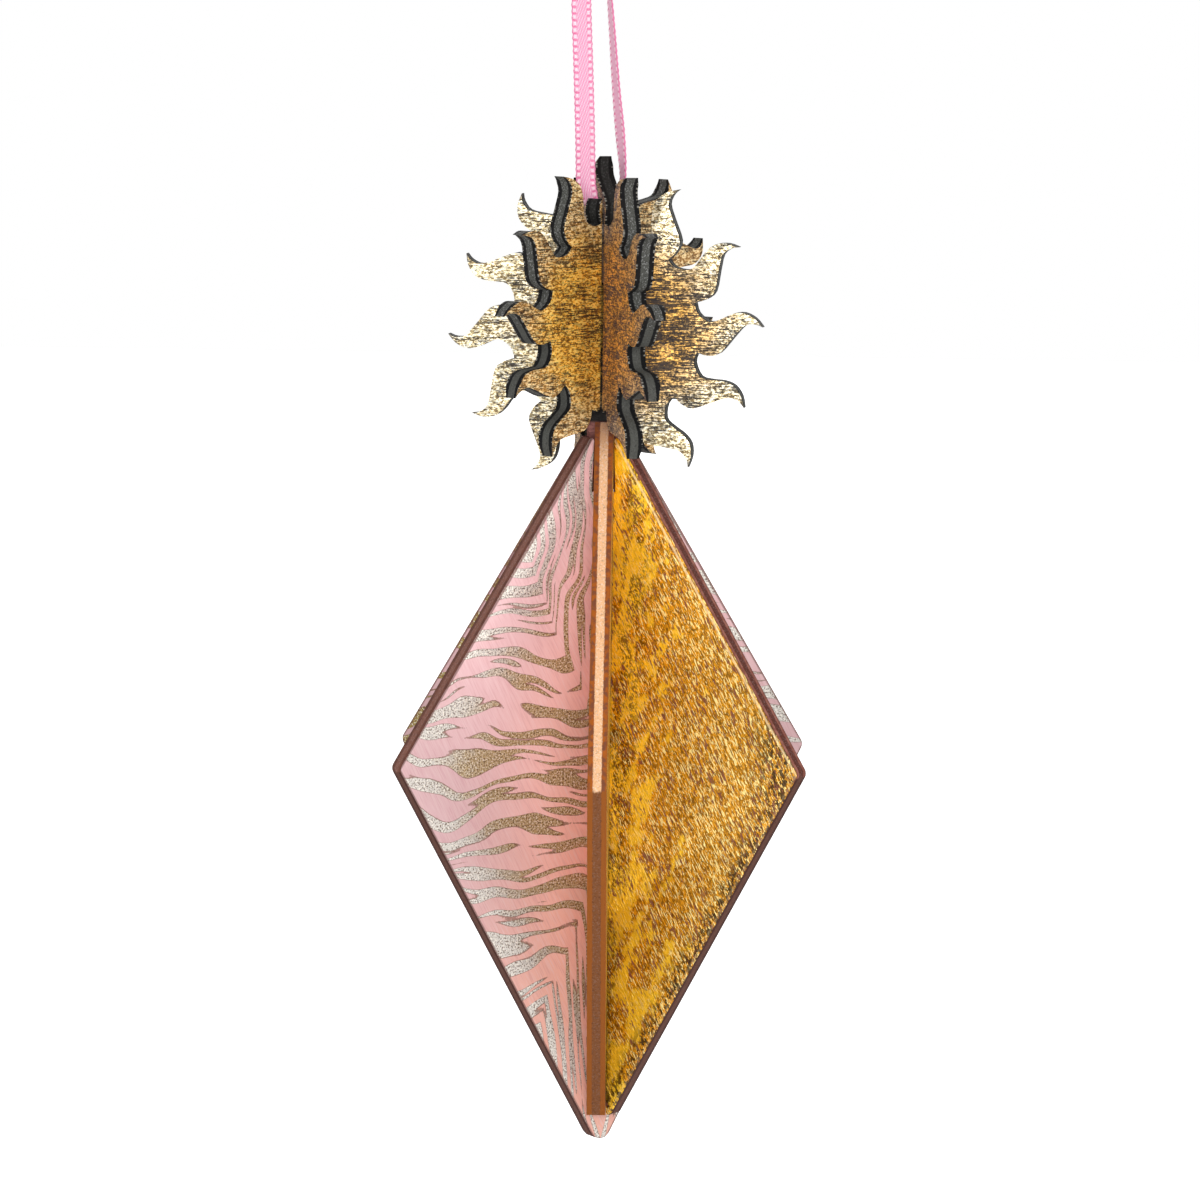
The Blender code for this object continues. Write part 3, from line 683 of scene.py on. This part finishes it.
def knot(finish):
    """The pulled-tight knot: turns of folded ribbon over a small core."""
    middle = Vector((0, 0, KNOT_LEVEL * MM))
    bpy.ops.object.select_all(action="DESELECT")
    bpy.ops.mesh.primitive_uv_sphere_add(segments=32, ring_count=16, radius=1.0, location=middle)
    core = bpy.context.object
    bpy.ops.transform.resize(value=tuple(radius * MM for radius in KNOT_CORE))
    bpy.ops.object.transform_apply(location=True, rotation=True, scale=True)
    core.data.uv_layers[0].name = "across_and_along"
    core.data.materials.append(finish)
    bpy.ops.object.shade_smooth()
    turns = []
    for k, (tilt, turn, size, width) in enumerate(KNOT_TURNS):
        way = Matrix.Rotation(radians(turn), 3, "Z") @ Matrix.Rotation(radians(tilt), 3, "Y")
        rows = []
        for i in range(KNOT_ROWS):
            angle = 2 * pi * i / KNOT_ROWS
            spot = way @ Vector((cos(angle), sin(angle), 0.0))
            spot = Vector([part * reach for part, reach in zip(spot, KNOT_REACH)]) * (size * MM)
            rows.append((spot + middle, way @ Vector((0, 0, 1)), KNOT_CURL * MM))
        turns.append(woven(f"turn_{k}", rows, finish, width=width, closed=True))
    only(core)
    for turn in turns:
        turn.select_set(True)
    bpy.ops.object.join()
    core.name = core.data.name = "ribbon_knot_turns"
    return core


# The studio, in metres, degrees and watts
WORLD_LIGHT = 0.50
FLOOR_SIZE, FLOOR_LEVEL = 8.0, -0.36
LAMP_AIM = (0, 0, -0.1)
LAMPS = (  # name, place, size and power
    ("front", (0.05, -1.1, 0.12), (0.5, 0.5), 7.0),
    ("key", (-0.6, -0.8, 0.45), (0.5, 0.7), 2.5),
    ("fill", (0.8, -0.6, 0.2), (0.5, 0.8), 2.0),
    ("back", (0.1, 0.8, 0.5), (0.8, 0.5), 3.0),
)
CAMERA_TARGET = (2.23, 0, -97.45)  # in mm
CAMERA_AZIMUTH, CAMERA_ELEVATION, CAMERA_ROLL = 270.8, 6.6, 0.7
CAMERA_DISTANCE, CAMERA_NEAREST = 0.900, 0.02
CAMERA_LENS = 180.7  # in mm


def area_lamp(name, place, size, power):
    lamp = bpy.data.lights.new(name, "AREA")
    lamp.shape = "RECTANGLE"
    lamp.size, lamp.size_y = size
    lamp.energy = power
    made = bpy.data.objects.new(name, lamp)
    bpy.context.collection.objects.link(made)
    made.location = place
    made.rotation_euler = (Vector(LAMP_AIM) - Vector(place)).to_track_quat("-Z", "Y").to_euler()


def seen_as_background(tree):
    """One where the camera, a reflection or a clear body looks straight at it."""
    rays = tree.nodes.new("ShaderNodeLightPath")
    share = rays.outputs["Is Camera Ray"]
    for name in ("Is Glossy Ray", "Is Transmission Ray"):
        both = tree.nodes.new("ShaderNodeMath")
        both.operation = "MAXIMUM"
        tree.links.new(share, both.inputs[0])
        tree.links.new(rays.outputs[name], both.inputs[1])
        share = both.outputs[0]
    return share


def surroundings():
    """A soft light from all round, seen as white."""
    world = bpy.data.worlds.new("studio")
    bpy.context.scene.world = world
    world.use_nodes = True
    tree = world.node_tree
    lit = tree.nodes["Background"]
    lit.inputs["Color"].default_value = WHITE
    lit.inputs["Strength"].default_value = WORLD_LIGHT
    white = tree.nodes.new("ShaderNodeBackground")
    white.inputs["Color"].default_value = WHITE
    white.inputs["Strength"].default_value = 1.0
    chosen = tree.nodes.new("ShaderNodeMixShader")
    tree.links.new(seen_as_background(tree), chosen.inputs[0])
    tree.links.new(lit.outputs[0], chosen.inputs[1])
    tree.links.new(white.outputs[0], chosen.inputs[2])
    tree.links.new(chosen.outputs[0], tree.nodes["World Output"].inputs["Surface"])


def floor():
    """A floor that is seen as white too."""
    bpy.ops.object.select_all(action="DESELECT")
    bpy.ops.mesh.primitive_plane_add(size=FLOOR_SIZE, location=(0, 0, FLOOR_LEVEL))
    ground = bpy.context.object
    ground.name = "floor"
    pale = Finish("pale_floor", roughness=0.9)
    pale.done(Base_Color=(0.8, 0.8, 0.8, 1.0), Emission_Color=WHITE,
              Emission_Strength=seen_as_background(pale.tree))
    ground.data.materials.append(pale.material)


def camera():
    """The camera where the photograph was taken from."""
    azimuth, elevation = radians(CAMERA_AZIMUTH), radians(CAMERA_ELEVATION)
    back = Vector((cos(azimuth) * cos(elevation), sin(azimuth) * cos(elevation), sin(elevation)))
    made = bpy.data.objects.new("camera", bpy.data.cameras.new("camera"))
    bpy.context.collection.objects.link(made)
    made.data.lens = CAMERA_LENS
    made.data.clip_start = CAMERA_NEAREST
    made.location = Vector(CAMERA_TARGET) * MM + back * CAMERA_DISTANCE
    made.rotation_mode = "QUATERNION"
    rolled = Matrix.Rotation(radians(CAMERA_ROLL), 3, "Z").to_quaternion()
    made.rotation_quaternion = (-back).to_track_quat("-Z", "Y") @ rolled
    bpy.context.scene.camera = made
    bpy.context.scene.view_settings.view_transform = "Standard"


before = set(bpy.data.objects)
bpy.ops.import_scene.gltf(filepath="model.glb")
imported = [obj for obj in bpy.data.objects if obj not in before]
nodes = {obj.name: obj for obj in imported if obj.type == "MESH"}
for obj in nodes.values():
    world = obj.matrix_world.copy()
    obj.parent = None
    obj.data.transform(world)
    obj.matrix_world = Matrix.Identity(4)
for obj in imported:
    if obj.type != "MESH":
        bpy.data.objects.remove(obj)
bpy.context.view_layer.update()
surroundings()
floor()
for lamp in LAMPS:
    area_lamp(*lamp)
camera()

# The body's plates
silver, tan, olive = shades("D2CCC4 C4AA7E A58A3E")
zebra_left = zebra_print("zebra_left", LEFT, 4, silver, tan)
zebra_right = zebra_print("zebra_right", RIGHT, 2, olive, olive)
zebra_front = zebra_print("zebra_front", FRONT, 3, silver, tan)
gold_right = gold_panel("gold_right", RIGHT)
gold_front = gold_panel("gold_front", FRONT)
# The edges' colours below the body's widest level: painted shade, as these faces turn down
shaded_low_edge = shades("5E3B30 45261F")
left_edge = charred_edge("edge_left", LEFT, BODY, shades("80564A 5E3C33 6E463A"), shaded_low_edge, glint=0.12)
right_edge = charred_edge("edge_right", RIGHT, BODY, shades("5C3026 9A6456 844E42"), shaded_low_edge, glint=0.12)
front_edge = charred_edge("edge_front", FRONT, BODY, shades("E3B084 9E541C 74442E"), shades("784A2C 8E501F"))
plate(nodes["body_plate_left"], "left_plate", LEFT,
      (left_edge, zebra_left, zebra_left, zebra_left, zebra_left), "body_plate_left")
plate(nodes["body_plate_right"], "right_plate", RIGHT,
      (right_edge, zebra_right, zebra_right, gold_right, zebra_right), "body_plate_right")
plate(nodes["body_plate_front"], "front_plate", FRONT,
      (front_edge, gold_front, zebra_front, zebra_front, zebra_front), "body_plate_front")

# The sun's plates
# The middle plate's foil, lighter about the hub: partly its own tone, partly painted light against the shade
# where the plates cross
amber = shades("FFBE44 D0A468 FFDC74 FCE0A8 8E6228 221A14")
# The hanger's foil tones, darker and greyer than the middle plate's: painted shade
shaded_tones = shades("BC8640 A48058 ECA858 DCB078 70543A 3E343A")
champagne = shades("B4843C E6D2A0 ECB85E FFF8E2 6A5638 28262A")
char = shades("4A4A46 0E0E0F 151414")
for azimuth, level, key, tones, wear, hub_wear, blotted in (
    (HANGER, SUN, "hanger", shaded_tones, 0.012, 0.0, 0.75),
    (MIDDLE, SUN, "middle", amber, 0.020, 0.0, 0.35),
    (TONGUE, SUN - TONGUE_DROP, "tongue", champagne, 0.0, 0.075, 0.5),
):
    foil = sun_foil(f"foil_{key}", azimuth, level, tones, wear, hub_wear, blotted)
    edge = charred_edge(f"edge_{key}", azimuth, level, char, char[:2], glint=0.3, ribbed=0.4, axis_black=0.8)
    plate(nodes[f"sun_plate_{key}"], f"{key}_sun", azimuth,
          (edge, foil, foil, foil, foil), f"sun_plate_{key}")

# The ribbon
pink = satin()
hole = Vector((AXIS, 0, HOLE))
route = placed(LEFT_STRAND, hole) + placed(THROUGH_HOLE, hole, HANGER - FRONT) + placed(RIGHT_STRAND, hole)
loop, loop_line, loop_length = ribbon("ribbon_loop", route, pink)
turns = knot(pink)
left_tail = ribbon("cut_end_left", placed(LEFT_TAIL, Vector()), pink, slant=CUT_SLANT)[0]
right_tail = ribbon("cut_end_right", placed(RIGHT_TAIL, Vector()), pink, slant=-CUT_SLANT)[0]
for piece, node in ((loop, "ribbon"), (turns, "ribbon_knot"), (left_tail, "ribbon_tail_left"),
                    (right_tail, "ribbon_tail_right")):
    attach(piece, "ribbon")
    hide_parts(node)
